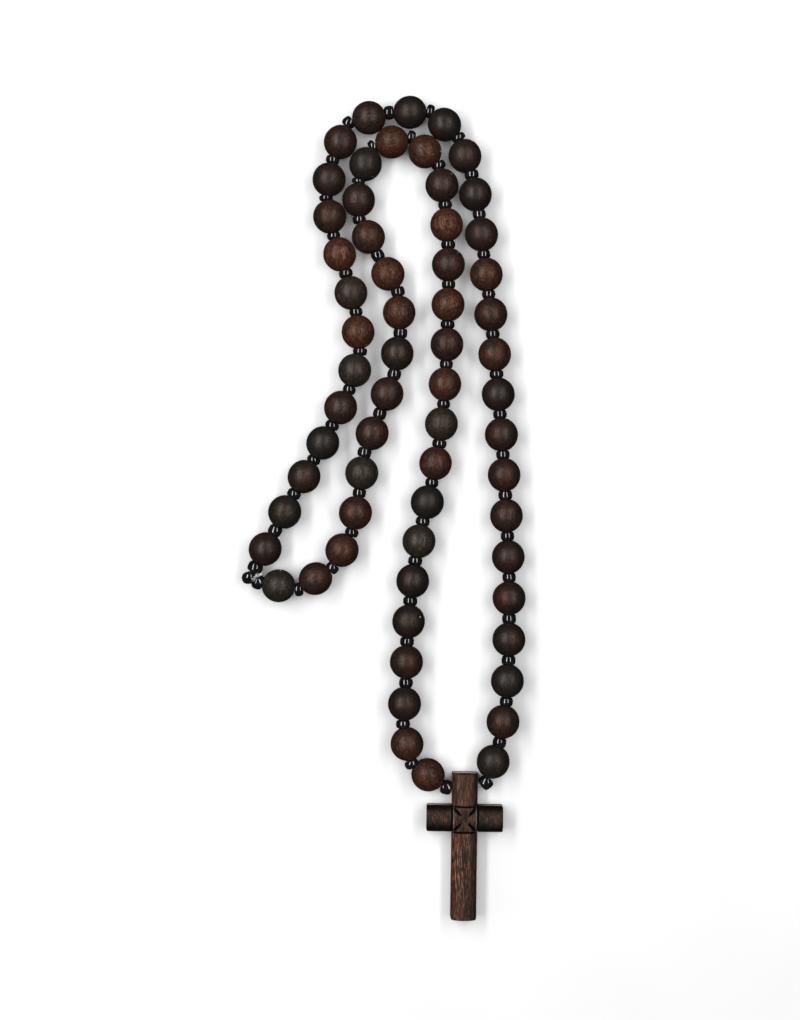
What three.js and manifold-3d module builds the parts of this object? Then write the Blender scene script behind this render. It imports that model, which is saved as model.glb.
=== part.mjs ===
// Wooden rosary lying flat: sixty-two turned beads with a black glass seed bead in every gap,
// threaded on one clear cord that is knotted to itself, with a carved wooden cross hung on it.
//
// Frame: millimetres, +Z up. The origin is on the table under the middle of the rosary, +Y runs
// along its length away from the cross, and the table is z = 0.

import * as THREE from 'three';
import { mergeVertices } from 'three/addons/utils/BufferGeometryUtils.js';
import Module from 'manifold-3d';

const wasm = await Module();
wasm.setup();

// ---------- driving dimensions ----------

const BEAD_RADIUS = 3.9;
const BEAD_LENGTH = 7.4;
const BEAD_BORE_RADIUS = 0.8;
const GLUED_BORE_RADIUS = 0.9;
const BEAD_MOUTH_RADIUS = 1.4;
const BEAD_SIDES = 10;

const SEED_RADIUS = 1.5;
const SEED_END_RADIUS = 1.05;
const SEED_LENGTH = 2.0;
const KNOT_SEED_LENGTH = 1.6;
const SEED_SIDES = 8;

const CORD_RADIUS = 0.35;
const CORD_SIDES = 8;
const KNOT_RADIUS = 0.85;
const TAIL_RADIUS = 0.25;

const GAP = 0.2;
const GLUE_OVERLAP = 0.7;
const GLUED_BEADS_EACH_SIDE = 3;

// The wooden beads that are redder than the rest, numbered along the cord.
const RED_BEADS = [4, 9, 10, 11, 14, 15, 17, 19, 23, 30, 31, 36, 42, 54, 56];

const CROSS_CENTRE = new THREE.Vector3(19.05, -73.75, 0);
const CROSS_LEAN = -0.8 * (Math.PI / 180);
const CROSS_TOP = 10.8;
const CROSS_FOOT = 23.9;
const CROSS_ARM = 9.05;
const LIMB_WIDTH = 6.1;
const LIMB_THICKNESS = 5.7;
const LIMB_WALL = 3.3;
const LIMB_EDGE = 0.25;
const CROSS_BORE_UP = 7.8;
const CROSS_BORE_HEIGHT = 3.2;
const CROSS_BORE_RADIUS = 1.1;
const GROOVE_WIDTH = 0.45;
const GROOVE_DEPTH = 0.4;
const CHIP_LENGTH = 2.3;
const CHIP_WIDTH = 0.9;
const CHIP_DEPTH = 0.6;

// ---------- materials ----------

const darkWood = () => new THREE.MeshStandardMaterial({ color: 0x4a3430, roughness: 0.55 });
const redWood = () => new THREE.MeshStandardMaterial({ color: 0x6b3a2a, roughness: 0.5 });
const blackGlass = () => new THREE.MeshStandardMaterial({ color: 0x0a0a0c, roughness: 0.08 });

// ---------- the cord's route ----------

// Each point is the middle of a seed bead, or the knot at both ends. The fourth number is how many
// wooden beads the cord passes through on its way from the point before. Where that is none, the
// cord is crossing the knot or the cross.
const ROUTE = [
  [-30.9, -16.6, 4.5, 0],
  [-29.9, -17.5, 3.75, 0],
  [-20.4, -19.2, 3.75, 1],
  [-12.4, -14.1, 3.75, 1],
  [-7.8, -5.7, 3.75, 1],
  [-4.8, 13.2, 3.75, 2],
  [2.3, 31.9, 3.75, 2],
  [3.2, 51.4, 3.75, 2],
  [-6.1, 68.9, 3.75, 2],
  [-6.2, 77.7, 3.75, 1],
  [-2.8, 85.9, 3.75, 1],
  [6.3, 88.2, 3.75, 1],
  [12.9, 81.4, 3.75, 1],
  [14.4, 72.1, 3.75, 1],
  [15.0, 43.7, 3.75, 3],
  [13.0, 15.4, 3.75, 3],
  [7.3, -12.4, 3.75, 3],
  [5.1, -41.3, 3.75, 3],
  [6.3, -60.3, 4.25, 2],
  [14.4, -66.2, 3.2, 1],
  [24.3, -64.9, 3.2, 0],
  [27.3, -55.4, 4.25, 1],
  [29.6, -26.2, 3.75, 3],
  [28.7, 3.2, 3.75, 3],
  [26.6, 31.9, 3.75, 3],
  [23.6, 60.3, 3.75, 3],
  [20.7, 79.3, 3.75, 2],
  [17.5, 88.2, 3.75, 1],
  [11.0, 94.2, 3.75, 1],
  [1.1, 94.0, 3.75, 1],
  [-8.5, 91.6, 3.75, 1],
  [-12.4, 82.5, 3.75, 1],
  [-13.9, 73.8, 3.75, 1],
  [-9.2, 55.9, 3.75, 2],
  [-5.8, 37.3, 3.75, 2],
  [-12.5, 19.6, 3.75, 2],
  [-21.4, 3.6, 3.75, 2],
  [-30.7, -14.0, 3.75, 2],
  [-32.1, -16.4, 3.6, 0],
  [-30.9, -16.6, 4.5, 0],
];

// Where the two cut ends of the cord stand out of the knot.
const TAIL_TIPS = [
  [-28.9, -15.3, 5.0],
  [-29.6, -14.5, 4.2],
];

// The cord runs straight through each wooden bead and turns at the seed beads, so it is a chain of
// straight spans between stations. A span knows whether it carries a wooden bead.
function cordStations() {
  const smooth = new THREE.CatmullRomCurve3(
    ROUTE.map(([x, y, z]) => new THREE.Vector3(x, y, z)),
    false,
    'chordal'
  );
  const stations = [smooth.getPoint(0)];
  const carriesBead = [];
  for (let i = 1; i < ROUTE.length; i += 1) {
    const beads = ROUTE[i][3];
    const spans = Math.max(beads, 1);
    for (let k = 1; k <= spans; k += 1) {
      stations.push(smooth.getPoint((i - 1 + k / spans) / (ROUTE.length - 1)));
      carriesBead.push(beads > 0);
    }
  }
  return { stations, carriesBead };
}

const { stations, carriesBead } = cordStations();
const lastStation = stations.length - 1;

function directionAt(i) {
  const before = stations[Math.max(i - 1, 0)];
  const after = stations[Math.min(i + 1, lastStation)];
  const here = stations[i];
  const incoming = here.clone().sub(before).normalize();
  const outgoing = after.clone().sub(here).normalize();
  return incoming.add(outgoing).normalize();
}

// Half of the turn that the cord makes at a station, in radians.
function halfTurnAt(i) {
  const incoming = stations[i].clone().sub(stations[i - 1]);
  const outgoing = stations[i + 1].clone().sub(stations[i]);
  return incoming.angleTo(outgoing) / 2;
}

// ---------- closed solids ----------

function toSolid(geometry) {
  const bare = geometry.clone();
  bare.deleteAttribute('normal');
  bare.deleteAttribute('uv');
  const merged = mergeVertices(bare, 1e-4);
  return new wasm.Manifold(
    new wasm.Mesh({
      numProp: 3,
      vertProperties: new Float32Array(merged.attributes.position.array),
      triVerts: new Uint32Array(merged.index.array),
    })
  );
}

function toGeometry(solid) {
  const mesh = solid.getMesh();
  const geometry = new THREE.BufferGeometry();
  geometry.setAttribute('position', new THREE.BufferAttribute(mesh.vertProperties, 3));
  geometry.setIndex(new THREE.BufferAttribute(mesh.triVerts, 1));
  return geometry;
}

// A turned piece whose local +Y lies along the cord. Half a side of turn puts a flat underneath.
function turned(profile, sides) {
  const points = profile.map(([radius, along]) => new THREE.Vector2(radius, along));
  return new THREE.LatheGeometry(points, sides, Math.PI / sides, 2 * Math.PI);
}

function beadGeometry() {
  const end = BEAD_LENGTH / 2;
  return turned(
    [
      [BEAD_BORE_RADIUS, -end],
      [BEAD_MOUTH_RADIUS, -end],
      [0.78 * BEAD_RADIUS, -0.63 * BEAD_RADIUS],
      [BEAD_RADIUS, 0],
      [0.78 * BEAD_RADIUS, 0.63 * BEAD_RADIUS],
      [BEAD_MOUTH_RADIUS, end],
      [BEAD_BORE_RADIUS, end],
      [BEAD_BORE_RADIUS, -end],
    ],
    BEAD_SIDES
  );
}

function seedGeometry(halfLength) {
  return turned(
    [
      [0, -halfLength],
      [SEED_END_RADIUS, -halfLength],
      [SEED_RADIUS, 0],
      [SEED_END_RADIUS, halfLength],
      [0, halfLength],
    ],
    SEED_SIDES
  );
}

// The place of a turned piece: at a point, local +Y along the cord and local +Z as near up as it
// can be.
function placeOnCord(point, along) {
  const side = along.clone().cross(new THREE.Vector3(0, 0, 1)).normalize();
  const up = side.clone().cross(along).normalize();
  return new THREE.Matrix4().makeBasis(side, along, up).setPosition(point);
}

// ---------- pieces on the cord ----------

// How far a station is from the end of the wooden bead on a span beside it.
function roomTo(span) {
  return stations[span].distanceTo(stations[span + 1]) / 2 - BEAD_LENGTH / 2;
}

// A seed bead fills its gap, but for the play that lets the wooden beads turn.
function seedHalfLength(i) {
  const beside = [i - 1, i].filter((span) => carriesBead[span]);
  if (beside.length === 0) return KNOT_SEED_LENGTH / 2;
  const lean = SEED_END_RADIUS * Math.tan(halfTurnAt(i));
  return Math.min(SEED_LENGTH / 2, Math.min(...beside.map(roomTo)) - GAP - lean);
}

function seedSolid(i) {
  const geometry = seedGeometry(seedHalfLength(i));
  geometry.applyMatrix4(placeOnCord(stations[i], directionAt(i)));
  return toSolid(geometry);
}

function beadPlace(span) {
  const from = stations[span];
  const to = stations[span + 1];
  const along = to.clone().sub(from).normalize();
  return placeOnCord(from.clone().add(to).multiplyScalar(0.5), along);
}

function polygon(radius, sides) {
  const shape = new THREE.Shape();
  for (let k = 0; k < sides; k += 1) {
    const angle = ((k + 0.5) / sides) * 2 * Math.PI;
    const point = [radius * Math.cos(angle), radius * Math.sin(angle)];
    if (k === 0) shape.moveTo(...point);
    else shape.lineTo(...point);
  }
  shape.closePath();
  return shape;
}

// A straight length of cord, run on a little at both ends so that neighbouring lengths join.
function cordLength(from, to, radius) {
  const run = to.clone().sub(from).setLength(radius / 2);
  const path = new THREE.LineCurve3(from.clone().sub(run), to.clone().add(run));
  const section = polygon(radius, CORD_SIDES);
  return toSolid(new THREE.ExtrudeGeometry(section, { steps: 1, extrudePath: path }));
}

// The cord and its seed beads, as one turned profile that is bent along the route. Each ring of the
// profile belongs to a station and stands off it along the cord by its offset.
function stringRings(seedStations) {
  const plain = { offset: 0, radius: CORD_RADIUS };
  const rings = [{ at: 0, offset: 0, radius: 0 }, { at: 0, ...plain }];
  for (let at = 1; at < lastStation; at += 1) {
    if (seedStations.includes(at)) {
      const half = seedHalfLength(at);
      rings.push({ at, offset: -half, radius: CORD_RADIUS });
      rings.push({ at, offset: -half, radius: SEED_END_RADIUS });
      rings.push({ at, offset: 0, radius: SEED_RADIUS });
      rings.push({ at, offset: half, radius: SEED_END_RADIUS });
      rings.push({ at, offset: half, radius: CORD_RADIUS });
    } else {
      rings.push({ at, ...plain });
    }
  }
  rings.push({ at: lastStation, ...plain }, { at: lastStation, offset: 0, radius: 0 });
  return rings;
}

function bentString(seedStations) {
  const rings = stringRings(seedStations);
  const places = stations.map((point, i) => placeOnCord(point, directionAt(i)));
  const profile = rings.map((ring, k) => new THREE.Vector2(ring.radius, k));
  const geometry = new THREE.LatheGeometry(profile, CORD_SIDES, Math.PI / CORD_SIDES, 2 * Math.PI);
  const position = geometry.attributes.position;
  const vertex = new THREE.Vector3();
  for (let v = 0; v < position.count; v += 1) {
    vertex.fromBufferAttribute(position, v);
    const ring = rings[Math.round(vertex.y)];
    vertex.setY(ring.offset).applyMatrix4(places[ring.at]);
    position.setXYZ(v, ...vertex);
  }
  return geometry;
}

// The seed beads ride on the cord between the wooden beads, so the cord from knot to knot, the
// seed beads and the knot with its two cut tails are one solid.
function cordSolid(seedStations) {
  const besideKnot = [1, lastStation - 2, lastStation - 1];
  let solid = toSolid(bentString(seedStations.filter((i) => !besideKnot.includes(i))));
  const knot = new THREE.IcosahedronGeometry(KNOT_RADIUS, 1);
  knot.applyMatrix4(new THREE.Matrix4().setPosition(stations[0]));
  solid = solid.add(toSolid(knot));
  for (const tip of TAIL_TIPS) {
    solid = solid.add(cordLength(stations[0], new THREE.Vector3(...tip), TAIL_RADIUS));
  }
  for (const i of besideKnot) solid = solid.add(seedSolid(i));
  return solid;
}

// ---------- cross ----------

// A limb's section: flat back at z = 0, upright walls and a domed front.
function limbSection(width, thickness, wall) {
  const half = width / 2;
  const dome = thickness - wall;
  const section = new THREE.Shape();
  section.moveTo(-half, 0);
  section.lineTo(half, 0);
  section.lineTo(half, wall);
  section.bezierCurveTo(half, wall + 0.8 * dome, 0.45 * half, thickness, 0, thickness);
  section.bezierCurveTo(-0.45 * half, thickness, -half, wall + 0.8 * dome, -half, wall);
  section.closePath();
  return section;
}

// The section drawn in local x and y stands up in x and z, and runs along +Y from one end to the
// other.
function limb(from, to, edge = LIMB_EDGE) {
  const geometry = new THREE.ExtrudeGeometry(limbSection(LIMB_WIDTH, LIMB_THICKNESS, LIMB_WALL), {
    depth: to - from - 2 * edge,
    curveSegments: 4,
    bevelEnabled: true,
    bevelSegments: 1,
    bevelThickness: edge,
    bevelSize: edge,
    bevelOffset: -edge,
  });
  geometry.rotateX(Math.PI / 2);
  geometry.translate(0, to - edge, 0);
  return geometry;
}

// What the groove leaves standing: the limb's section, less the groove's depth, with its back
// carried below z = 0 so that the groove does not cross the flat back.
function grooveCore() {
  const core = limbSection(
    LIMB_WIDTH - 2 * GROOVE_DEPTH,
    LIMB_THICKNESS - GROOVE_DEPTH + 1,
    LIMB_WALL + 1
  );
  const geometry = new THREE.ExtrudeGeometry(core, { depth: 2, curveSegments: 4, bevelEnabled: false });
  geometry.rotateX(Math.PI / 2);
  geometry.translate(0, 1, -1);
  return toSolid(geometry);
}

function grooves() {
  const block = LIMB_WIDTH / 2;
  const blade = new THREE.BoxGeometry(2 * LIMB_WIDTH, GROOVE_WIDTH, 2 * LIMB_THICKNESS);
  blade.translate(0, 0, LIMB_THICKNESS + 0.01);
  const ring = toSolid(blade).subtract(grooveCore());
  return [0, 90, 180, 270].map((turn) => ring.translate([0, block, 0]).rotate([0, 0, turn]));
}

// One short wedge of wood is chipped out of each corner of the middle block.
function chips() {
  const notch = new THREE.Shape();
  notch.moveTo(-CHIP_WIDTH / 2, 0.3);
  notch.lineTo(0, -CHIP_DEPTH);
  notch.lineTo(CHIP_WIDTH / 2, 0.3);
  notch.closePath();
  const wedge = new THREE.ExtrudeGeometry(notch, { depth: CHIP_LENGTH, bevelEnabled: false });
  wedge.rotateX(Math.PI / 2);
  wedge.translate(0, 0.46 * LIMB_WIDTH * Math.SQRT2, LIMB_THICKNESS - 0.55);
  const solid = toSolid(wedge);
  return [45, 135, 225, 315].map((turn) => solid.rotate([0, 0, turn]));
}

function crossSolid() {
  const arms = limb(-CROSS_ARM, CROSS_ARM);
  arms.rotateZ(Math.PI / 2);
  let solid = toSolid(limb(-CROSS_FOOT, CROSS_TOP)).add(toSolid(arms));
  for (const cut of [...grooves(), ...chips()]) solid = solid.subtract(cut);
  const bore = new THREE.CylinderGeometry(CROSS_BORE_RADIUS, CROSS_BORE_RADIUS, 2 * LIMB_WIDTH, 12);
  bore.rotateZ(Math.PI / 2);
  bore.translate(0, CROSS_BORE_UP, CROSS_BORE_HEIGHT);
  return solid.subtract(toSolid(bore));
}

// ---------- assembly ----------

const rosary = new THREE.Group();

function addPiece(name, geometry, material) {
  const mesh = new THREE.Mesh(geometry, material);
  mesh.name = name;
  rosary.add(mesh);
  return mesh;
}

const beadSpans = carriesBead.flatMap((carries, span) => (carries ? [span] : []));
const gluedFirst = beadSpans.slice(0, GLUED_BEADS_EACH_SIDE);
const gluedLast = beadSpans.slice(-GLUED_BEADS_EACH_SIDE);
const freeSpans = beadSpans.slice(GLUED_BEADS_EACH_SIDE, -GLUED_BEADS_EACH_SIDE);

// The three wooden beads on each side of the knot are glued up with the two seed beads between
// them, so each three are one solid with the cord's bore through it.
function gluedSolid(spans) {
  let solid = null;
  for (const span of spans) {
    const bead = toSolid(beadGeometry().applyMatrix4(beadPlace(span)));
    solid = solid ? solid.add(bead) : bead;
  }
  for (const i of spans.slice(1)) {
    const reach = Math.max(roomTo(i - 1), roomTo(i)) + GLUE_OVERLAP;
    const seed = seedGeometry(reach).applyMatrix4(placeOnCord(stations[i], directionAt(i)));
    solid = solid.add(toSolid(seed));
  }
  for (const span of spans) {
    solid = solid.subtract(cordLength(stations[span], stations[span + 1], GLUED_BORE_RADIUS));
  }
  return solid;
}

// Every station has a seed bead but the knot at both ends and those inside the glued threes.
const gluedSeeds = [...gluedFirst.slice(1), ...gluedLast.slice(1)];
const looseSeeds = stations
  .map((_, i) => i)
  .filter((i) => i > 0 && i < lastStation && !gluedSeeds.includes(i));

addPiece('cord_with_seed_beads', toGeometry(cordSolid(looseSeeds)), blackGlass());
addPiece('glued_beads_first', toGeometry(gluedSolid(gluedFirst)), darkWood());
addPiece('glued_beads_last', toGeometry(gluedSolid(gluedLast)), darkWood());

const cross = addPiece('cross', toGeometry(crossSolid()), redWood());
cross.position.copy(CROSS_CENTRE);
cross.rotation.z = CROSS_LEAN;

freeSpans.forEach((span, index) => {
  const number = index + 1 + GLUED_BEADS_EACH_SIDE;
  const name = `bead_${String(number).padStart(2, '0')}`;
  const bead = addPiece(name, beadGeometry(), RED_BEADS.includes(number) ? redWood() : darkWood());
  beadPlace(span).decompose(bead.position, bead.quaternion, bead.scale);
});

export default rosary;
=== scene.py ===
"""A wooden rosary lying flat: turned wooden beads and black glass seed beads on one clear nylon
cord, knotted to itself, with a carved wooden cross hung on it. Metres, in the CAD model's frame:
+X right, +Y along the rosary away from the cross, +Z up off the table."""

import math
import random

import bpy
import numpy as np
from mathutils import Matrix, Vector, noise


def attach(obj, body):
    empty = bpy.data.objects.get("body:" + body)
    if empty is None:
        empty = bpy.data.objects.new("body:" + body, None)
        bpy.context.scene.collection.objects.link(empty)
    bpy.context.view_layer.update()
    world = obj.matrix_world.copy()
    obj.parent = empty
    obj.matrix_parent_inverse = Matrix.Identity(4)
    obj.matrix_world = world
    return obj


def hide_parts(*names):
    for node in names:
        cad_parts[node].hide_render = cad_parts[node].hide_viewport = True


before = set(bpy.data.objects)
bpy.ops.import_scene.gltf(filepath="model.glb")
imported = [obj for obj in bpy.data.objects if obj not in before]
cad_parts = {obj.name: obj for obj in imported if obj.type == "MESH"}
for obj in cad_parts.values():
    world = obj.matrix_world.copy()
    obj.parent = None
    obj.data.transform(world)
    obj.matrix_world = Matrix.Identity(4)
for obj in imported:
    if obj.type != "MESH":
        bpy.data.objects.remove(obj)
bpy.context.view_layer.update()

MM = 0.001

# ---------- driving dimensions ----------

BEAD_RADIUS = 3.95 * MM
BEAD_HALF = 3.85 * MM
BEAD_MOUTH = 1.2 * MM
BEAD_BORE = 0.8 * MM
BEAD_SEGMENTS = 64
BEAD_RINGS = 30

SEED_RADIUS = 1.66 * MM
SEED_HALF = 1.3 * MM
SEED_BORE = 0.45 * MM
SEED_NEST = 0.08 * MM
KNOT_SEED_HALF = 1.05 * MM
END_SEED_GROWTH = 1.08
SEED_SEGMENTS = 40
SEED_RINGS = 14
SEED_BORE_NARROWING = 0.05 * MM

CORD_RADIUS = 0.35 * MM
CORD_STEPS = 24
KNOT_RADIUS = 0.62 * MM
KNOT_STRAND = 0.24 * MM
KNOT_RISE = 2.2
KNOT_STEPS = 96
TAIL_RADIUS = 0.3 * MM
TAIL_BOW = 0.25 * MM
TAIL_STEPS = 16

CROSS_CENTRE = Vector((19.05 * MM, -73.75 * MM, 0))
CROSS_LEAN = math.radians(-0.8)
CROSS_TOP = 10.8 * MM
CROSS_FOOT = 23.9 * MM
CROSS_ARM = 9.05 * MM
LIMB_HALF = 3.05 * MM
LIMB_THICKNESS = 5.7 * MM
LIMB_WALL = 3.3 * MM
LIMB_CROWN = 2.3
LIMB_END_ROUND = 0.3 * MM
LIMB_CORNER_ROUND = 0.35 * MM
GROOVE_HALF = 0.26 * MM
GROOVE_DEPTH = 0.5 * MM
CHIP_START = 0.25 * MM
CHIP_LENGTH = 3.0 * MM
CHIP_HALF = 0.42 * MM
CHIP_DEPTH = 0.62 * MM
CROSS_BORE_UP = 7.8 * MM
CROSS_BORE_HEIGHT = 3.2 * MM
CROSS_BORE_RADIUS = 1.1 * MM
CROSS_BORE_SIDES = 32
CROSS_GRID = 0.2 * MM
BLOCK_CELLS = 64
WALL_ROWS = 10
CROSS_SHARP_ANGLE = math.radians(40)
CROSS_GRAIN_SHIFT = 13.0
BLOCK_RIM_PALENESS = 0.1
BLADE_RIPPLE = 0.05 * MM
BLADE_SWAY = 0.04 * MM

TABLE = -0.2 * MM

GLUED_EACH_SIDE = 3
RUST_BEADS = (10, 17, 19, 54, 56)
RED_BEADS = (3, 4, 9, 11, 14, 15, 21, 23, 30, 31, 42, 44)
PLUM_BEADS = (2, 6, 7, 8, 12, 16, 18, 20, 28, 33, 36, 38, 39, 40, 43, 50, 51, 53, 58)
OLIVE_BEADS = (1, 5, 22, 25, 55, 57)
GREY_BEADS = (13, 24, 32, 34, 59, 61)

# The cord from the knot round to the knot. Each point is the middle of a seed bead, or the knot at
# both ends. The fourth number is how many wooden beads the cord passes through on its way from the
# point before: none where it crosses the knot or the cross.
ROUTE = [
    (-0.0309, -0.0166, 0.00450, 0),
    (-0.0299, -0.0175, 0.00375, 0),
    (-0.0204, -0.0192, 0.00375, 1),
    (-0.0124, -0.0141, 0.00375, 1),
    (-0.0078, -0.0057, 0.00375, 1),
    (-0.0048, 0.0132, 0.00375, 2),
    (0.0023, 0.0319, 0.00375, 2),
    (0.0032, 0.0514, 0.00375, 2),
    (-0.0061, 0.0689, 0.00375, 2),
    (-0.0062, 0.0777, 0.00375, 1),
    (-0.0028, 0.0859, 0.00375, 1),
    (0.0063, 0.0882, 0.00375, 1),
    (0.0129, 0.0814, 0.00375, 1),
    (0.0144, 0.0721, 0.00375, 1),
    (0.0150, 0.0437, 0.00375, 3),
    (0.0130, 0.0154, 0.00375, 3),
    (0.0073, -0.0124, 0.00375, 3),
    (0.0051, -0.0413, 0.00375, 3),
    (0.0063, -0.0603, 0.00425, 2),
    (0.0144, -0.0662, 0.00320, 1),
    (0.0243, -0.0649, 0.00320, 0),
    (0.0273, -0.0554, 0.00425, 1),
    (0.0296, -0.0262, 0.00375, 3),
    (0.0287, 0.0032, 0.00375, 3),
    (0.0266, 0.0319, 0.00375, 3),
    (0.0236, 0.0603, 0.00375, 3),
    (0.0207, 0.0793, 0.00375, 2),
    (0.0175, 0.0882, 0.00375, 1),
    (0.0110, 0.0942, 0.00375, 1),
    (0.0011, 0.0940, 0.00375, 1),
    (-0.0085, 0.0916, 0.00375, 1),
    (-0.0124, 0.0825, 0.00375, 1),
    (-0.0139, 0.0738, 0.00375, 1),
    (-0.0092, 0.0559, 0.00375, 2),
    (-0.0058, 0.0373, 0.00375, 2),
    (-0.0125, 0.0196, 0.00375, 2),
    (-0.0214, 0.0036, 0.00375, 2),
    (-0.0307, -0.0140, 0.00375, 2),
    (-0.0321, -0.0164, 0.00360, 0),
    (-0.0309, -0.0166, 0.00450, 0),
]

# Where the two cut ends of the cord stand out of the knot.
TAIL_TIPS = ((-0.0289, -0.0153, 0.0050), (-0.0296, -0.0145, 0.0042))

# ---------- camera ----------

CAMERA_HEIGHT = 450 * MM
CAMERA_LENS = 66.3
FRAME_MIDDLE = (3.68 * MM, -0.36 * MM)


def make_camera():
    """Straight above the middle of the rosary, looking down, with +Y up the picture."""
    data = bpy.data.cameras.new("camera")
    data.lens = CAMERA_LENS
    data.clip_start = 0.01
    camera = bpy.data.objects.new("camera", data)
    camera.location = (*FRAME_MIDDLE, CAMERA_HEIGHT)
    bpy.context.scene.collection.objects.link(camera)
    bpy.context.scene.camera = camera


# ---------- the cord's route ----------


def on_route(u):
    """The point at u, from 0 to 1, on the chordal Catmull-Rom curve through the route."""
    points = [Vector(p[:3]) for p in ROUTE]
    last = len(points) - 1
    i = min(int(u * last), last - 1)
    w = u * last - i
    b, c = points[i], points[i + 1]
    a = points[i - 1] if i > 0 else 2 * b - c
    d = points[i + 2] if i + 2 <= last else 2 * c - b
    ab, bc, cd = (b - a).length, (c - b).length, (d - c).length
    out = ((b - a) / ab - (c - a) / (ab + bc) + (c - b) / bc) * bc
    into = ((c - b) / bc - (d - b) / (bc + cd) + (d - c) / cd) * bc
    cubic = 2 * (b - c) + out + into
    square = 3 * (c - b) - 2 * out - into
    return b + w * (out + w * (square + w * cubic))


def route_stations():
    """Every point where the cord may turn, and whether each span between them has a wooden bead."""
    stations, carries_bead = [on_route(0)], []
    last = len(ROUTE) - 1
    for i in range(1, len(ROUTE)):
        spans = max(ROUTE[i][3], 1)
        for k in range(1, spans + 1):
            stations.append(on_route((i - 1 + k / spans) / last))
            carries_bead.append(ROUTE[i][3] > 0)
    return stations, carries_bead


stations, carries_bead = route_stations()


def direction_at(i):
    """The way that the cord runs at a station: halfway between the spans on its two sides."""
    before, here = stations[max(i - 1, 0)], stations[i]
    after = stations[min(i + 1, len(stations) - 1)]
    return ((here - before).normalized() + (after - here).normalized()).normalized()


def place_on_cord(point, along, turn=0.0):
    """A matrix with its origin at the point and its local Z along the cord, turned about it."""
    side = along.cross(Vector((0, 0, 1))).normalized()
    up = side.cross(along).normalized()
    basis = Matrix((side, up, along)).transposed().to_4x4()
    return Matrix.Translation(point) @ basis @ Matrix.Rotation(turn, 4, "Z")


# ---------- meshes ----------

TUBE_SIDES = 16
TUBE_END_WIDTHS = (0.45, 0.85, 1.0)


def new_piece(name, vertices, faces, material, matrix=None):
    """An object from vertices in its own frame, shaded smooth and moved by the matrix, if any."""
    mesh = bpy.data.meshes.new(name)
    mesh.from_pydata([tuple(v) for v in vertices], [], faces)
    mesh.transform(matrix or Matrix.Identity(4))
    mesh.polygons.foreach_set("use_smooth", [True] * len(mesh.polygons))
    mesh.materials.append(material)
    mesh.update()
    piece = bpy.data.objects.new(name, mesh)
    bpy.context.scene.collection.objects.link(piece)
    return piece


def set_grain(mesh, places):
    """Keeps each vertex's place in the wood, in millimetres, for the materials."""
    attribute = mesh.attributes.new("grain", "FLOAT_VECTOR", "POINT")
    attribute.data.foreach_set("vector", np.asarray(places, np.float32).ravel())


def set_tone(mesh, tones):
    """Keeps each vertex's stain, fibre and third tone, with the cross's painted light and shade,
    for the materials.
    """
    attribute = mesh.attributes.new("tone", "FLOAT_COLOR", "POINT")
    attribute.data.foreach_set("color", np.asarray(tones, np.float32).ravel())


def vertices_of(mesh):
    flat = np.zeros(len(mesh.vertices) * 3)
    mesh.vertices.foreach_get("co", flat)
    return flat.reshape(-1, 3)


def turned(profile, segments):
    """A ring-shaped surface: a closed profile of (radius, height) turned about Z."""
    vertices, faces = [], []
    count = len(profile)
    for s in range(segments):
        angle = 2 * math.pi * s / segments
        vertices += [(r * math.cos(angle), r * math.sin(angle), z) for r, z in profile]
    for s in range(segments):
        here, there = s * count, (s + 1) % segments * count
        for k in range(count):
            after = (k + 1) % count
            faces.append((here + k, there + k, there + after, here + after))
    return vertices, faces


def tube(points, radius):
    """A closed tube with rounded ends along a line of points."""
    sides = TUBE_SIDES
    line = [Vector(p) for p in points]
    vertices, faces = [], []
    side = Vector((0, 0, 1))
    for i, point in enumerate(line):
        along = (line[min(i + 1, len(line) - 1)] - line[max(i - 1, 0)]).normalized()
        side = (side - along * side.dot(along)).normalized()
        up = along.cross(side)
        near_end = min(i, len(line) - 1 - i)
        width = radius * TUBE_END_WIDTHS[min(near_end, len(TUBE_END_WIDTHS) - 1)]
        for k in range(sides):
            angle = 2 * math.pi * k / sides
            vertices.append(point + width * (math.cos(angle) * side + math.sin(angle) * up))
    for i in range(len(line) - 1):
        for k in range(sides):
            a, b = i * sides + k, i * sides + (k + 1) % sides
            faces.append((a, b, b + sides, a + sides))
    faces.append(tuple(reversed(range(sides))))
    faces.append(tuple(range((len(line) - 1) * sides, len(line) * sides)))
    return vertices, faces


# ---------- materials ----------


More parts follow.
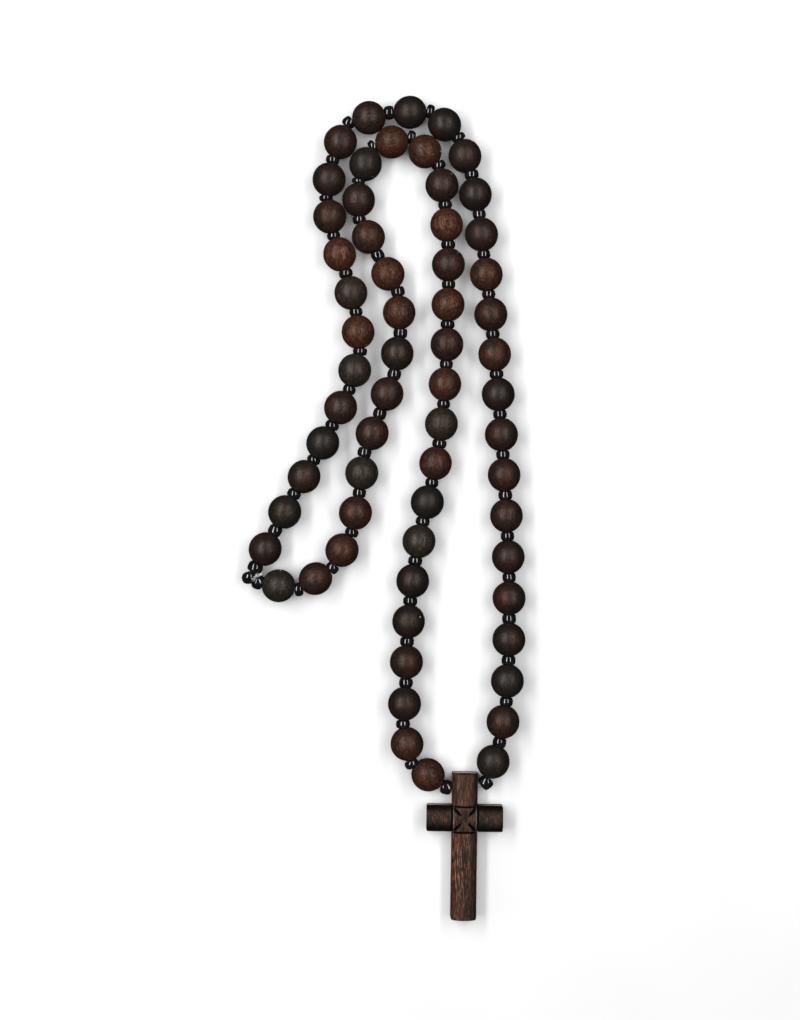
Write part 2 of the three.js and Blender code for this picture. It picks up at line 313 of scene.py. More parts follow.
class Tree:
    """Short calls for one material's nodes."""

    def __init__(self, name):
        self.material = bpy.data.materials.new(name)
        self.material.use_nodes = True
        self.nodes = self.material.node_tree.nodes
        self.links = self.material.node_tree.links
        self.shader = self.nodes["Principled BSDF"]

    def put(self, socket, value):
        """Links an output to the socket, or sets the socket to a plain value."""
        if isinstance(value, bpy.types.NodeSocket):
            self.links.new(value, socket)
        else:
            socket.default_value = value

    def set(self, **values):
        """Sets the shader's own sockets; Base_Color stands for Base Color."""
        for name, value in values.items():
            self.put(self.shader.inputs[name.replace("_", " ")], value)

    def attribute(self, name, output="Vector"):
        node = self.nodes.new("ShaderNodeAttribute")
        node.attribute_name = name
        return node.outputs[output]

    def stretched(self, vector, factors):
        """The place with each of its axes scaled, so that noise is drawn out where it is small."""
        node = self.nodes.new("ShaderNodeVectorMath")
        node.operation = "MULTIPLY"
        self.put(node.inputs[0], vector)
        node.inputs[1].default_value = factors
        return node.outputs[0]

    def nearest_point(self, places, scale):
        """How far each place is from the nearest of the points strewn through space."""
        cells = self.nodes.new("ShaderNodeTexVoronoi")
        cells.inputs["Scale"].default_value = scale
        self.put(cells.inputs["Vector"], places)
        return cells.outputs["Distance"]

    def noise(self, vector, scale=1.0, detail=2.0, roughness=0.5, distortion=0.0):
        node = self.nodes.new("ShaderNodeTexNoise")
        self.put(node.inputs["Vector"], vector)
        node.inputs["Scale"].default_value = scale
        node.inputs["Detail"].default_value = detail
        node.inputs["Roughness"].default_value = roughness
        node.inputs["Distortion"].default_value = distortion
        return node.outputs[0]

    def spread(self, value, low, high, to_low=0.0, to_high=1.0):
        """Maps low..high of a value to to_low..to_high, with the ends held."""
        node = self.nodes.new("ShaderNodeMapRange")
        node.interpolation_type = "SMOOTHSTEP"
        self.put(node.inputs["Value"], value)
        node.inputs["From Min"].default_value = low
        node.inputs["From Max"].default_value = high
        node.inputs["To Min"].default_value = to_low
        node.inputs["To Max"].default_value = to_high
        return node.outputs["Result"]

    def arithmetic(self, operation, a, b):
        node = self.nodes.new("ShaderNodeMath")
        node.operation = operation
        self.put(node.inputs[0], a)
        self.put(node.inputs[1], b)
        return node.outputs[0]

    def sum(self, a, b):
        return self.arithmetic("ADD", a, b)

    def product(self, a, b):
        return self.arithmetic("MULTIPLY", a, b)

    def colours(self, value, stops):
        """A colour ramp: stops are (place, (r, g, b))."""
        node = self.nodes.new("ShaderNodeValToRGB")
        self.put(node.inputs["Fac"], value)
        ramp = node.color_ramp
        while len(ramp.elements) < len(stops):
            ramp.elements.new(1.0)
        for element, (place, colour) in zip(ramp.elements, stops):
            element.position = place
            element.color = (*colour, 1)
        return node.outputs["Color"]

    def mix(self, factor, a, b):
        """Colour a where the factor is 0 and colour b where it is 1."""
        node = self.nodes.new("ShaderNodeMix")
        node.data_type = "RGBA"
        self.put(node.inputs[0], factor)
        self.put(node.inputs[6], a if isinstance(a, bpy.types.NodeSocket) else (*a, 1))
        self.put(node.inputs[7], b if isinstance(b, bpy.types.NodeSocket) else (*b, 1))
        return node.outputs[2]

    def bump(self, height, distance, strength):
        node = self.nodes.new("ShaderNodeBump")
        node.inputs["Strength"].default_value = strength
        node.inputs["Distance"].default_value = distance
        self.put(node.inputs["Height"], height)
        self.put(self.shader.inputs["Normal"], node.outputs["Normal"])


# Both woods and the glass read "grain", the place in millimetres with the grain along its Z and a
# shift of the piece's own. The woods also read "tone": its red is how red the stain is, its green
# is how bright the fibres are, and its blue is how olive a bead is, or how pale the cross is. On
# the cross, red and green also carry painted light and shade, and blue carries a painted highlight
# on the walls that face the light as well as paler edges of the block. Colours are linear red,
# green and blue.

BEAD_GRAIN_DEPTH = 0.05 * MM
CROSS_GRAIN_DEPTH = 0.07 * MM
GRAIN_BUMP = 0.6
GLASS_WAVE_DEPTH = 0.12 * MM
GLASS_BUMP = 0.25

# How many waves the grain's noises have to a millimetre: twice across it, then along it.
BEAD_PATCHES = (0.28, 0.28, 0.16)
BEAD_STREAKS = (3.2, 3.2, 0.3)
BEAD_FIBRES = (8.0, 8.0, 0.6)
CROSS_PATCHES = (0.35, 0.35, 0.1)
CROSS_STRANDS = (2.8, 2.8, 0.36)
CROSS_FIBRES = (6.0, 6.0, 0.5)

BEAD_IOR = 1.6
CROSS_IOR = 1.42
GLASS_IOR = 1.8
NYLON_IOR = 1.53

BEAD_STAINS = [
    (0.0, (0.0072, 0.0069, 0.0066)),
    (0.3, (0.0095, 0.0078, 0.0074)),
    (0.6, (0.0135, 0.0074, 0.0066)),
    (1.0, (0.025, 0.0090, 0.0064)),
]
BEAD_SHEENS = [
    (0.0, (0.8, 0.7, 0.63)),
    (0.5, (0.95, 0.66, 0.58)),
    (1.0, (1.0, 0.6, 0.45)),
]
OLIVE_STAIN = (0.018, 0.0175, 0.0132)
BEAD_FIBRE = (0.20, 0.072, 0.033)
OLIVE_FLECK = (0.13, 0.105, 0.055)
BEAD_PORE = (0.006, 0.005, 0.0045)
BEAD_PORE_SHEEN = (0.15, 0.12, 0.1)
# Tiny pale specks painted into the colour as glints.
BEAD_PAINTED_GLINT = (0.8, 0.76, 0.7)

CROSS_STAINS = [
    (0.0, (0.003, 0.0028, 0.0025)),
    (0.2, (0.008, 0.0075, 0.0065)),
    (0.45, (0.018, 0.012, 0.0105)),
    (0.7, (0.036, 0.0155, 0.0115)),
    (1.0, (0.075, 0.024, 0.0145)),
]
CROSS_FIBRE = (0.37, 0.127, 0.068)
CROSS_PORE = (0.008, 0.006, 0.005)
# Pale colour for the block's side edges, and the painted highlight on the walls that face the
# light.
CROSS_PALE_AND_PAINTED_HIGHLIGHT = (0.92, 0.84, 0.72)
CROSS_SHEEN = (0.9, 0.7, 0.58, 1)

GLASS_BLACKS = [(0.3, (0.0035, 0.003, 0.0032)), (0.7, (0.010, 0.009, 0.011))]
NYLON_HAZES = [(0.3, (0.78, 0.79, 0.78)), (0.7, (0.95, 0.95, 0.93))]
PAPER_WHITES = [(0.3, (0.9, 0.9, 0.9)), (0.7, (0.92, 0.92, 0.92))]


def tone_channels(t):
    """The three channels of the tone attribute."""
    split = t.nodes.new("ShaderNodeSeparateColor")
    t.put(split.inputs[0], t.attribute("tone", "Color"))
    return split.outputs


def bead_wood():
    """Dark stained wood: patches of stain, lit fibres, black pores and a few painted glints."""
    t = Tree("bead_wood")
    grain = t.attribute("grain")
    red, bright, olive = tone_channels(t)
    patches = t.noise(t.stretched(grain, BEAD_PATCHES), detail=3, distortion=0.4)
    stain = t.sum(red, t.spread(patches, 0.3, 0.7, -0.42, 0.4))
    base = t.mix(olive, t.colours(stain, BEAD_STAINS), OLIVE_STAIN)
    streaks = t.noise(t.stretched(grain, BEAD_STREAKS), detail=3, roughness=0.65)
    fibres = t.noise(t.stretched(grain, BEAD_FIBRES), detail=2, roughness=0.6)
    lit = t.product(t.spread(t.sum(streaks, fibres), 0.98, 1.28), bright)
    base = t.mix(lit, base, BEAD_FIBRE)
    flecks = t.product(olive, t.spread(streaks, 0.56, 0.7))
    base = t.mix(flecks, base, OLIVE_FLECK)
    pores = t.spread(fibres, 0.34, 0.49, 0.85, 0.0)
    base = t.mix(pores, base, BEAD_PORE)
    # Painted glints: a few tiny pale specks in the colour stand in for white glints.
    painted_glints = t.spread(t.nearest_point(grain, 0.15), 0.02, 0.035, 1.0, 0.0)
    base = t.mix(painted_glints, base, BEAD_PAINTED_GLINT)
    sheen = t.mix(pores, t.colours(stain, BEAD_SHEENS), BEAD_PORE_SHEEN)
    t.set(Base_Color=base, Roughness=t.spread(patches, 0.2, 0.8, 0.38, 0.48))
    t.set(IOR=BEAD_IOR, Specular_Tint=sheen)
    t.bump(t.sum(streaks, t.product(fibres, 0.6)), BEAD_GRAIN_DEPTH, GRAIN_BUMP)
    return t.material


def cross_wood():
    """Rougher, redder wood with long strands, painted light and shade in its redness and fibres,
    and a painted highlight on its top end and the arms' upper walls.
    """
    t = Tree("cross_wood")
    grain = t.attribute("grain")
    red, bright, pale_rim_and_painted_highlight = tone_channels(t)
    patches = t.noise(t.stretched(grain, CROSS_PATCHES), detail=3, distortion=0.3)
    stain = t.sum(red, t.spread(patches, 0.3, 0.7, -0.25, 0.25))
    base = t.colours(stain, CROSS_STAINS)
    along = t.stretched(grain, CROSS_STRANDS)
    strands = t.noise(along, detail=4, roughness=0.66, distortion=0.5)
    fibres = t.noise(t.stretched(grain, CROSS_FIBRES), detail=2, roughness=0.6)
    # The fibres' brightness carries the painted light and shade of the tone.
    lit = t.product(t.spread(t.sum(strands, fibres), 1.02, 1.2), bright)
    base = t.mix(lit, base, CROSS_FIBRE)
    pores = t.spread(fibres, 0.34, 0.49, 0.9, 0.0)
    base = t.mix(pores, base, CROSS_PORE)
    # Paler block edges, and a painted highlight on the walls that face the light.
    base = t.mix(pale_rim_and_painted_highlight, base, CROSS_PALE_AND_PAINTED_HIGHLIGHT)
    t.set(Base_Color=base, Roughness=t.spread(patches, 0.2, 0.8, 0.36, 0.5))
    t.set(IOR=CROSS_IOR, Specular_Tint=CROSS_SHEEN)
    t.bump(t.sum(strands, t.product(fibres, 0.7)), CROSS_GRAIN_DEPTH, GRAIN_BUMP)
    return t.material


def black_glass():
    """Glossy black glass with a slightly wavy skin."""
    t = Tree("black_glass")
    grain = t.attribute("grain")
    clouds = t.noise(grain, scale=0.6, detail=2)
    waves = t.noise(grain, scale=1.3, detail=1)
    t.set(Base_Color=t.colours(clouds, GLASS_BLACKS))
    t.set(Roughness=t.spread(clouds, 0.3, 0.7, 0.04, 0.09), IOR=GLASS_IOR)
    t.bump(waves, GLASS_WAVE_DEPTH, GLASS_BUMP)
    return t.material


def clear_nylon():
    """Clear line with a slight milky haze."""
    t = Tree("clear_nylon")
    place = t.nodes.new("ShaderNodeTexCoord").outputs["Object"]
    haze = t.noise(place, scale=900, detail=2)
    t.set(Base_Color=t.colours(haze, NYLON_HAZES), Roughness=t.spread(haze, 0.3, 0.7, 0.08, 0.22))
    t.set(IOR=NYLON_IOR, Transmission_Weight=0.65)
    return t.material


# ---------- wooden beads ----------

# Each lip point: its radius, and how far it lies inside the bead's end.
BEAD_LIP = ((0.97 * MM, 0.04 * MM), (0.86 * MM, 0.16 * MM), (BEAD_BORE, 0.38 * MM))
# How far the turner's hand and the grain move the surface, and how many waves they have to a
# millimetre across and along.
BEAD_LUMPS = (0.035 * MM, 0.25, 0.2)
BEAD_RIDGES = (0.014 * MM, 1.1, 0.22)
# Each piece's wood or glass starts up to this many millimetres off along each axis.
SHIFT_RANGE = 40
# The random draws of bead n start from this plus n.
BEAD_DRAWS = 100

# Beads by tone: least and most redness, least and most brightness of the fibres, and olive.
BEAD_TONES = (
    (RUST_BEADS, (0.9, 1.1), (0.85, 1.15), 0.0),
    (RED_BEADS, (0.62, 0.9), (0.5, 0.8), 0.0),
    (PLUM_BEADS, (0.38, 0.54), (0.22, 0.42), 0.0),
    (OLIVE_BEADS, (0.04, 0.26), (0.12, 0.3), 0.6),
    (GREY_BEADS, (-0.2, 0.0), (0.0, 0.1), 0.25),
)
DARK_TONE = ((0.06, 0.28), (0.12, 0.3), 0.0)


def roughened(vertices, shift, amount, across, along):
    """Moves each vertex in or out from the turning axis by noise that is drawn out along Z."""
    moved = []
    for x, y, z in vertices:
        at = Vector((x * across, y * across, z * along)) / MM + shift
        out = 1 + amount * noise.noise(at) / max(math.hypot(x, y), MM)
        moved.append((x * out, y * out, z))
    return moved


def bead_profile(radius, half):
    """From the lower mouth over the outside to the upper mouth, and back down the bore."""
    mouth_angle = math.acos(BEAD_MOUTH / radius)
    height = half / math.sin(mouth_angle)
    outside = []
    for k in range(BEAD_RINGS + 1):
        angle = mouth_angle * (2 * k / BEAD_RINGS - 1)
        outside.append((radius * math.cos(angle), height * math.sin(angle)))
    lip = [(r, half - depth) for r, depth in BEAD_LIP]
    bore = [(BEAD_BORE, half * share) for share in (0.5, 0.0, -0.5)]
    return outside + lip + bore + [(r, -z) for r, z in reversed(lip)]


def bead_tone(number, draw):
    """How red the stain is, how bright the fibres are and how olive the bead is."""
    red, bright, olive = DARK_TONE
    for beads, *tone in BEAD_TONES:
        if number in beads:
            red, bright, olive = tone
    return draw.uniform(*red), draw.uniform(*bright), olive


def make_wooden_bead(number, span, material):
    """Bead number n, in the middle of its span of the cord and turned about it at random."""
    draw = random.Random(BEAD_DRAWS + number)
    start, end = stations[span], stations[span + 1]
    radius = BEAD_RADIUS * draw.uniform(0.98, 1.0)
    half = BEAD_HALF * draw.uniform(0.99, 1.0)
    vertices, faces = turned(bead_profile(radius, half), BEAD_SEGMENTS)
    shift = Vector(draw.uniform(0, SHIFT_RANGE) for _ in range(3))
    vertices = roughened(vertices, shift, *BEAD_LUMPS)
    vertices = roughened(vertices, shift, *BEAD_RIDGES)
    turn = draw.uniform(0, 2 * math.pi)
    matrix = place_on_cord((start + end) / 2, (end - start).normalized(), turn)
    piece = new_piece(f"wooden_bead_{number:02d}", vertices, faces, material, matrix)
    set_grain(piece.data, np.array(vertices) / MM + np.array(shift))
    set_tone(piece.data, [(*bead_tone(number, draw), 1)] * len(vertices))
    return piece


# ---------- seed beads ----------

SEED_LUMPS = (0.05 * MM, 0.5, 0.5)
SEED_DRAWS = 500


def seed_profile(radius, half, fullness):
    """A drawn glass bead: rounded outside, melted round at both ends, with a bore."""
    outside = []
    for k in range(SEED_RINGS + 1):
        angle = math.pi * (k / SEED_RINGS - 0.5)
        bulge = math.cos(angle) ** fullness
        out = SEED_BORE + (radius - SEED_BORE) * bulge
        outside.append((out, half * math.sin(angle)))
    bore = [(SEED_BORE - SEED_BORE_NARROWING, half * share) for share in (0.6, -0.6)]
    return outside + bore


def seed_place(station):
    """The middle and half-length of the seed bead that fills the gap at a station."""
    along = direction_at(station)
    if not (carries_bead[station - 1] or carries_bead[station]):
        return stations[station], KNOT_SEED_HALF
    room = []
    for span in (station - 1, station):
        length = (stations[span + 1] - stations[span]).length
        neighbour = BEAD_HALF - SEED_NEST if carries_bead[span] else LIMB_HALF + SEED_NEST
        room.append(length / 2 - neighbour if length > 2 * BEAD_HALF else SEED_HALF)
    half = min(SEED_HALF, (room[0] + room[1]) / 2)
    return stations[station] + along * (room[1] - room[0]) / 2, half


def make_seed_bead(station, material):
    """The glass bead at a station, a little larger where it is beside the cross or the knot."""
    draw = random.Random(SEED_DRAWS + station)
    radius = SEED_RADIUS * draw.uniform(0.94, 1.02)
    if not (carries_bead[station - 1] and carries_bead[station]):
        radius *= END_SEED_GROWTH
    middle, half = seed_place(station)
    half *= draw.uniform(0.97, 1.0)
    vertices, faces = turned(seed_profile(radius, half, draw.uniform(0.3, 0.45)), SEED_SEGMENTS)
    shift = Vector(draw.uniform(0, SHIFT_RANGE) for _ in range(3))
    vertices = roughened(vertices, shift, *SEED_LUMPS)
    matrix = place_on_cord(middle, direction_at(station), draw.uniform(0, 2 * math.pi))
    piece = new_piece(f"seed_bead_{station:02d}", vertices, faces, material, matrix)
    set_grain(piece.data, np.array(vertices) / MM + np.array(shift))
    return piece


# ---------- cross ----------


def limb_height(across):
    """The front of a limb over its axis, from the distance across it."""
    share = np.clip(np.abs(across) / LIMB_HALF, 0, 1)
    return LIMB_WALL + (LIMB_THICKNESS - LIMB_WALL) * (1 - share**LIMB_CROWN) ** (1 / LIMB_CROWN)


def end_drop(distance):
    """How far the front is rounded down near an end, from the distance to that end."""
    near = np.clip(LIMB_END_ROUND - distance, 0, LIMB_END_ROUND)
    return LIMB_END_ROUND - np.sqrt(LIMB_END_ROUND**2 - near**2)


def groove_drop(distance):
    """The V of a groove, from the distance to its middle."""
    return GROOVE_DEPTH * np.clip(1 - np.abs(distance) / GROOVE_HALF, 0, 1)


def chip_drop(x, y):
    """The wedge chipped out along each diagonal, from near the corner of the block inward."""
    corner = LIMB_HALF * math.sqrt(2) - (np.abs(x) + np.abs(y)) / math.sqrt(2)
    aside = (np.abs(x) - np.abs(y)) / math.sqrt(2)
    along = np.clip((corner - CHIP_START) / CHIP_LENGTH, 0, 1)
    shape = np.sqrt(np.clip(np.sin(math.pi * along**0.75), 0, 1))
    width = np.maximum(CHIP_HALF * shape, 1e-9)
    return CHIP_DEPTH * shape * np.clip(1 - np.abs(aside) / width, 0, 1)


def cross_front(x, y):
    """Height of the carved front over the flat back, at places in the cross's own frame."""
    in_post = np.abs(x) <= LIMB_HALF + 1e-9
    in_arms = np.abs(y) <= LIMB_HALF + 1e-9
    post = np.where(in_post, limb_height(x), 0)
    arms = np.where(in_arms, limb_height(y), 0)
    height = np.maximum(post, arms)
    end = np.where(in_post, np.minimum(CROSS_TOP - y, CROSS_FOOT + y), CROSS_ARM - np.abs(x))
    height = height - end_drop(end)
    block_x, block_y = np.abs(x) - LIMB_HALF, np.abs(y) - LIMB_HALF
    height = height - np.where(in_arms, groove_drop(block_x), 0)
    height = height - np.where(in_post, groove_drop(block_y), 0)
    return height - np.where(in_post & in_arms, chip_drop(x, y), 0)


def closer_at_ends(low, high, count):
    """Numbers from low to high that lie closer together near both ends."""
    t = np.linspace(0, 1, count + 1)
    eased = (1 - np.cos(math.pi * t)) / 2
    return low + (high - low) * (0.25 * t + 0.75 * eased)


def cross_lines(low, high):
    """Grid lines over one limb: short of the block, over the block and past it."""
    before = closer_at_ends(low, -LIMB_HALF, int((LIMB_HALF + low) / -CROSS_GRID))
    block = closer_at_ends(-LIMB_HALF, LIMB_HALF, BLOCK_CELLS)
    after = closer_at_ends(LIMB_HALF, high, int((high - LIMB_HALF) / CROSS_GRID))
    return np.concatenate([before[:-1], block, after[1:]])


def cross_mesh():
    """The carved front as a fine grid, upright walls and a flat back: one closed surface."""
    xs = cross_lines(-CROSS_ARM, CROSS_ARM)
    ys = cross_lines(-CROSS_FOOT, CROSS_TOP)
    middle_x = (xs[1:] + xs[:-1]) / 2
    middle_y = (ys[1:] + ys[:-1]) / 2
    inside = (np.abs(middle_x)[:, None] < LIMB_HALF) | (np.abs(middle_y)[None, :] < LIMB_HALF)
    number = {}
    places = []
    faces = []
    edges = {}

    def corner(i, j):
        if (i, j) not in number:
            number[i, j] = len(places)
            places.append((xs[i], ys[j]))
        return number[i, j]

    for i, j in zip(*np.nonzero(inside)):
        ring = [corner(i, j), corner(i + 1, j), corner(i + 1, j + 1), corner(i, j + 1)]
        faces.append(tuple(ring))
        for a, b in zip(ring, ring[1:] + ring[:1]):
            if (b, a) in edges:
                del edges[b, a]
            else:
                edges[a, b] = True
    flat = np.array(places)
    count = len(flat)
    front = np.column_stack([flat, cross_front(flat[:, 0], flat[:, 1])])
    rim = sorted({v for edge in edges for v in edge})
    rows = WALL_ROWS
    vertices = [front]
    row_of = [dict((v, v) for v in rim)]
    for k in range(1, rows):
        level = front[rim].copy()
        level[:, 2] *= 1 - k / rows
        row_of.append({v: count + (k - 1) * len(rim) + n for n, v in enumerate(rim)})
        vertices.append(level)
    back_start = count + (rows - 1) * len(rim)
    vertices.append(np.column_stack([flat, np.zeros(count)]))
    row_of.append({v: back_start + v for v in rim})
    walls = []
    for a, b in edges:
        for upper, lower in zip(row_of, row_of[1:]):
            walls.append((upper[b], upper[a], lower[a], lower[b]))
    back = [tuple(back_start + v for v in reversed(face)) for face in faces]
    return np.concatenate(vertices), faces + walls + back


def round_corners(vertices):
    """Draws the outer corners of the four limb ends in, so that they are round seen from above."""
    x, y = vertices[:, 0].copy(), vertices[:, 1].copy()
    for limit_x, limit_y, sign_y in (
        (LIMB_HALF, CROSS_TOP, 1), (LIMB_HALF, CROSS_FOOT, -1),
        (CROSS_ARM, LIMB_HALF, 1), (CROSS_ARM, LIMB_HALF, -1),
    ):
        r = LIMB_CORNER_ROUND
        dx = np.abs(x) - (limit_x - r)
        dy = sign_y * y - (limit_y - r)
        near = (dx > 0) & (dy > 0) & (dx <= r * 1.001) & (dy <= r * 1.001)
        share = np.where(near, np.maximum(dx, dy) / np.maximum(np.hypot(dx, dy), 1e-12), 1)
        vertices[:, 0] = np.where(near, np.sign(x) * (limit_x - r + dx * share), vertices[:, 0])
        vertices[:, 1] = np.where(near, sign_y * (limit_y - r + dy * share), vertices[:, 1])
    return vertices


def hand_cut(vertices):
    """Leaves the faint unevenness of a blade, drawn out along the grain of the post."""
    for v in vertices:
        x, y, z = v / MM
        ripple = noise.noise(Vector((0.7 * x, 0.12 * y, 0.5 * z)))
        v[2] += BLADE_RIPPLE * ripple * min(z / 2, 1)
        v[0] += BLADE_SWAY * noise.noise(Vector((0.2 * x + 9, 0.15 * y, 0.4 * z)))
    return vertices


def cut_bore(piece):
    """Bores the cord's hole across the top limb."""
    length = 4 * LIMB_HALF
    sides = CROSS_BORE_SIDES
    vertices = []
    for end in (-length / 2, length / 2):
        for angle in np.linspace(0, 2 * math.pi, sides + 1)[:-1]:
            up = CROSS_BORE_UP + CROSS_BORE_RADIUS * math.cos(angle)
            vertices.append((end, up, CROSS_BORE_HEIGHT + CROSS_BORE_RADIUS * math.sin(angle)))
    faces = [(sides + k, sides + (k + 1) % sides, (k + 1) % sides, k) for k in range(sides)]
    faces += [tuple(range(sides)), tuple(reversed(range(sides, 2 * sides)))]
    drill = new_piece("drill", vertices, faces, piece.data.materials[0])
    cut = piece.modifiers.new("bore", "BOOLEAN")
    cut.operation = "DIFFERENCE"
    cut.solver = "EXACT"
    cut.object = drill
    bpy.context.view_layer.update()
    cut_piece = piece.evaluated_get(bpy.context.evaluated_depsgraph_get())
    result = bpy.data.meshes.new_from_object(cut_piece)
    piece.modifiers.clear()
    piece.data = result
    bpy.data.objects.remove(drill)


def cross_tone(places):
    """Red, fibre, and paleness with a painted highlight for each vertex of the cross, from its
    place in the cross's own frame; red and fibre also carry painted light and shade.
    """
    x, y, z = places.T
    in_post = np.abs(x) <= LIMB_HALF + 0.1 * MM
    in_block = in_post & (np.abs(y) < LIMB_HALF)
    up_arm = y / LIMB_HALF

    # Painted light and shade: the post is redder and its fibres brighter on its left, where the
    # light falls, and darker on its right. The arms carry a painted highlight along their crowns,
    # redder with brighter fibres, and painted shade towards both long edges.
    # The block and the foot are duller, and the walls are dull all over.
    red = np.where(in_post, 0.62 - 0.24 * x / LIMB_HALF, 0.42 - 0.7 * np.abs(up_arm - 0.1))
    down_post = np.clip((-y - 12 * MM) / (10 * MM), 0, 1)
    post_painted_light = np.clip(0.7 - 0.5 * x / LIMB_HALF, 0.12, 1) * (1 - 0.45 * down_post)
    post_painted_light = np.where(y > LIMB_HALF, 0.6 * post_painted_light, post_painted_light)
    bright = np.where(in_post, post_painted_light, 0.48 * np.exp(-(2.4 * up_arm - 0.25) ** 2))
    bright = np.where(in_block, 0.3, bright)
    bright = np.where(z < 0.85 * LIMB_WALL, 0.1, bright)

    # Painted shade: the grooves and chips are darkened inside, less red and with dull fibres.
    block_x, block_y = np.abs(x) - LIMB_HALF, np.abs(y) - LIMB_HALF
    cut = np.where(np.abs(y) < LIMB_HALF, groove_drop(block_x), 0)
    cut = np.maximum(cut, np.where(np.abs(x) < LIMB_HALF, groove_drop(block_y), 0))
    cut = np.maximum(cut, np.where(in_block, chip_drop(x, y), 0))
    cut = np.where(z > 0.8 * LIMB_WALL, np.clip(cut / (0.3 * MM), 0, 1), 0)
    red = red * (1 - cut) - 0.6 * cut
    bright = bright * (1 - cut)

    # Paler: the side edges of the block. Painted highlight: the top end and the arms' upper walls,
    # which face the light, are painted pale as if lit.
    rim = (np.abs(y) < LIMB_HALF) & (np.abs(block_x + 0.38 * MM) < 0.09 * MM) & (z > LIMB_WALL)
    painted_lit_top_end = (y > CROSS_TOP - 0.02 * MM) & (z > 0.2 * LIMB_WALL) & (z < 0.95 * LIMB_WALL)
    painted_lit_arm_tops = (np.abs(x) > LIMB_HALF + 0.2 * MM) & (y > LIMB_HALF - 0.02 * MM)
    painted_lit_arm_tops = painted_lit_arm_tops & (z > 0.25 * LIMB_WALL) & (z < 0.75 * LIMB_WALL)
    toward_tip = (np.abs(x) - LIMB_HALF) / (CROSS_ARM - LIMB_HALF)
    pale_rim_and_painted_highlight = BLOCK_RIM_PALENESS * rim + painted_lit_top_end + (0.35 + 0.6 * toward_tip) * painted_lit_arm_tops
    return np.column_stack([red, bright, pale_rim_and_painted_highlight, np.ones(len(x))])


def make_cross(material):
    """The carved cross with its bore, lying on the table with its foot towards -Y."""
    vertices, faces = cross_mesh()
    vertices = hand_cut(round_corners(vertices))
    matrix = Matrix.Translation(CROSS_CENTRE) @ Matrix.Rotation(CROSS_LEAN, 4, "Z")
    piece = new_piece("carved_cross", vertices, faces, material)
    cut_bore(piece)
    mesh = piece.data
    mesh.polygons.foreach_set("use_smooth", [True] * len(mesh.polygons))
    mesh.set_sharp_from_angle(angle=CROSS_SHARP_ANGLE)
    places = vertices_of(mesh)
    along_post = np.column_stack([places[:, 0], places[:, 2], places[:, 1]])
    set_grain(mesh, along_post / MM + CROSS_GRAIN_SHIFT)
    set_tone(mesh, cross_tone(places))
    mesh.transform(matrix)
    return piece


# ---------- cord ----------


def make_cord(material):
    """The nylon cord from the knot through every bead and back to the knot, as one curve."""
    last = len(ROUTE) - 1
    points = [on_route(k / (CORD_STEPS * last)) for k in range(CORD_STEPS * last + 1)]
    data = bpy.data.curves.new("stringing_cord", "CURVE")
    data.dimensions = "3D"
    data.bevel_depth = CORD_RADIUS
    data.bevel_resolution = 4
    data.use_fill_caps = True
    spline = data.splines.new("POLY")
    spline.points.add(len(points) - 1)
    for control, point in zip(spline.points, points):
        control.co = (*point, 1)
    data.materials.append(material)
    piece = bpy.data.objects.new("stringing_cord", data)
    bpy.context.scene.collection.objects.link(piece)
    length = sum((b - a).length for a, b in zip(points, points[1:]))
    return piece, length


def make_knot(material):
    """The nylon drawn up in an overhand knot, as one looping strand."""
    middle = Vector(ROUTE[0][:3])
    points = []
    for k in range(KNOT_STEPS + 1):
        t = 2 * math.pi * k / KNOT_STEPS
        points.append(middle + KNOT_RADIUS / 3 * Vector((
            math.sin(t) + 2 * math.sin(2 * t),
            math.cos(t) - 2 * math.cos(2 * t),
            -KNOT_RISE * math.sin(3 * t),
        )))
    vertices, faces = tube(points, KNOT_STRAND)
    return new_piece("cord_knot", vertices, faces, material)


def make_tail(number, tip, material):
    """One cut end of the nylon, leaving the knot with a slight bow."""
    start, end = Vector(ROUTE[0][:3]), Vector(tip)
    points = []
    for k in range(TAIL_STEPS + 1):
        t = k / TAIL_STEPS
        points.append(start.lerp(end, t) + Vector((0, 0, TAIL_BOW * math.sin(math.pi * t))))
    vertices, faces = tube(points, TAIL_RADIUS)
    return new_piece(f"cord_tail_{number}", vertices, faces, material)


# ---------- table and lights ----------

TABLE_HALF = 3.0
# The table is pale by its own light from the first distance on, wholly so past the second.
TABLE_GLOW_FROM = 0.22
TABLE_GLOW_FULL = 0.7
BACKGROUND = 0.93
AMBIENT = 0.02

# Each light: name, place, width, length, watts, and whether it is seen in glossy surfaces.
LIGHTS = (
    ("left_strip", (-0.31, 0.2, 0.52), 0.12, 0.8, 2.9, True),
    ("right_strip", (0.31, 0.2, 0.52), 0.10, 0.8, 1.8, True),
    ("overhead", (0.05, 0.0, 1.4), 1.2, 1.2, 8.3, False),
    ("low_left", (-0.9, 0.2, 0.4), 0.8, 1.4, 2.2, False),
)


def make_table():
    """White paper, lit by the lamps near the rosary and as pale by itself farther out."""
    signs = ((-1, -1), (1, -1), (1, 1), (-1, 1))
    corners = [(x * TABLE_HALF, y * TABLE_HALF, TABLE) for x, y in signs]
    t = Tree("white_paper")
    place = t.nodes.new("ShaderNodeTexCoord").outputs["Object"]
    fibres = t.noise(place, scale=40, detail=3)
    t.set(Base_Color=t.colours(fibres, PAPER_WHITES))
    t.set(Roughness=0.9, Specular_IOR_Level=0.0)
    away = t.nodes.new("ShaderNodeVectorMath")
    away.operation = "LENGTH"
    t.put(away.inputs[0], place)
    glow = t.spread(away.outputs["Value"], TABLE_GLOW_FROM, TABLE_GLOW_FULL, 0, BACKGROUND)
    t.set(Emission_Color=(1, 1, 1, 1), Emission_Strength=glow)
    table = new_piece("table", corners, [(0, 1, 2, 3)], t.material)
    table.visible_glossy = False
    table.visible_diffuse = False


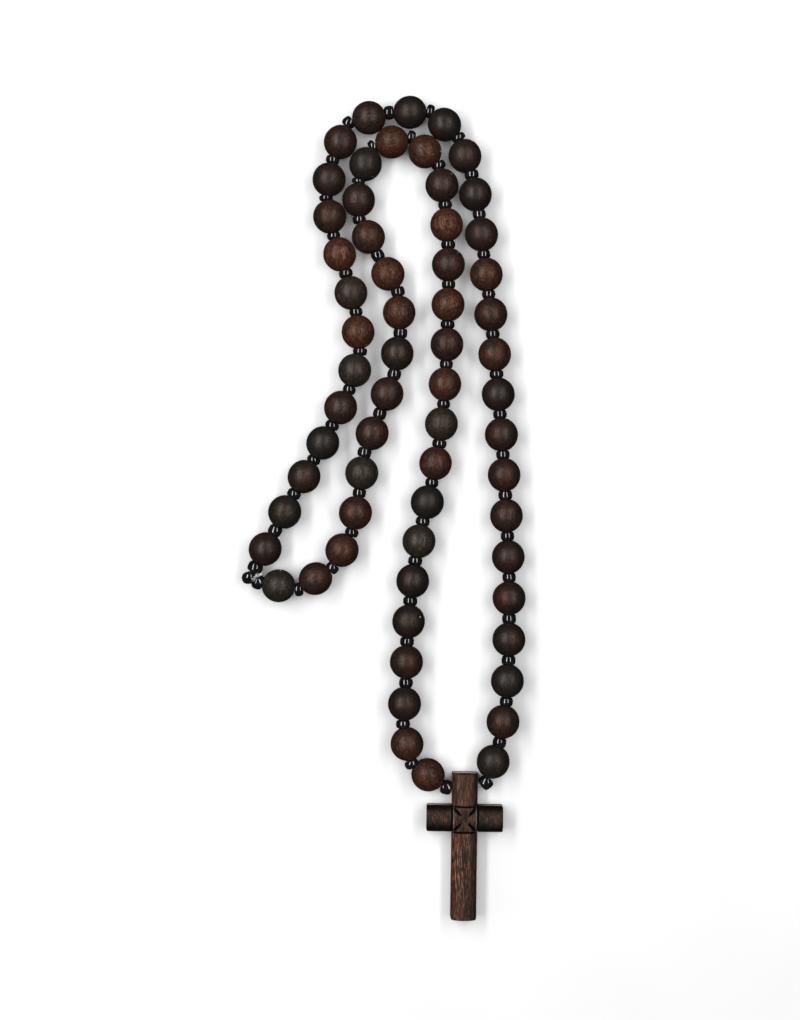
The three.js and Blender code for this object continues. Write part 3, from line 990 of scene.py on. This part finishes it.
def add_light(name, place, width, length, watts, glossy):
    """A soft rectangular light that leans towards the rosary, its length along Y."""
    data = bpy.data.lights.new(name, "AREA")
    data.shape = "RECTANGLE"
    data.size = width
    data.size_y = length
    data.energy = watts
    light = bpy.data.objects.new(name, data)
    light.location = place
    aim = Vector(place) - Vector((*FRAME_MIDDLE, 0))
    light.rotation_euler = (0, math.atan2(aim.x, aim.z), 0)
    light.visible_glossy = glossy
    bpy.context.scene.collection.objects.link(light)


def make_lights():
    """Two strips that draw the highlights, two soft fills, and a pale background."""
    for light in LIGHTS:
        add_light(*light)
    world = bpy.data.worlds.new("world")
    world.use_nodes = True
    nodes, links = world.node_tree.nodes, world.node_tree.links
    ambient = nodes["Background"]
    ambient.inputs["Color"].default_value = (1, 1, 1, 1)
    ambient.inputs["Strength"].default_value = AMBIENT
    seen = nodes.new("ShaderNodeBackground")
    seen.inputs["Color"].default_value = (BACKGROUND, BACKGROUND, BACKGROUND, 1)
    path, mix = nodes.new("ShaderNodeLightPath"), nodes.new("ShaderNodeMixShader")
    links.new(path.outputs["Is Camera Ray"], mix.inputs[0])
    links.new(ambient.outputs[0], mix.inputs[1])
    links.new(seen.outputs[0], mix.inputs[2])
    links.new(mix.outputs[0], nodes["World Output"].inputs["Surface"])
    bpy.context.scene.world = world
    bpy.context.scene.view_settings.view_transform = "Standard"


# ---------- assembly ----------

make_camera()
nylon = clear_nylon()
cord, cord_length = make_cord(nylon)
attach(cord, "string")
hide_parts("cord_with_seed_beads")

for part in [make_knot(nylon)] + [make_tail(n, tip, nylon) for n, tip in enumerate(TAIL_TIPS, 1)]:
    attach(part, "string")
    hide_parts("cord_with_seed_beads")

wood = bead_wood()
bead_spans = [s for s, carries in enumerate(carries_bead) if carries]
last_free = len(bead_spans) - GLUED_EACH_SIDE


def glued_node(number):
    """The CAD node of a wooden bead in a glued three, or None for a bead that turns."""
    if number <= GLUED_EACH_SIDE:
        return "glued_beads_first"
    return "glued_beads_last" if number > last_free else None


for number, span in enumerate(bead_spans, 1):
    bead = make_wooden_bead(number, span, wood)
    node = glued_node(number)
    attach(bead, "string" if node else f"bead_{number:02d}_body")
    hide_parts(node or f"bead_{number:02d}")

glass = black_glass()
# A seed bead has the number of its station, and the glued ones are those between glued beads.
glued_first = bead_spans[1:GLUED_EACH_SIDE]
glued_last = bead_spans[1 - GLUED_EACH_SIDE:]
for number in range(1, len(stations) - 1):
    seed = make_seed_bead(number, glass)
    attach(seed, "string")
    node = "cord_with_seed_beads"
    if number in glued_first:
        node = "glued_beads_first"
    elif number in glued_last:
        node = "glued_beads_last"
    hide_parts(node)

cross = make_cross(cross_wood())
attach(cross, "cross")
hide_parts("cross")

make_table()
make_lights()
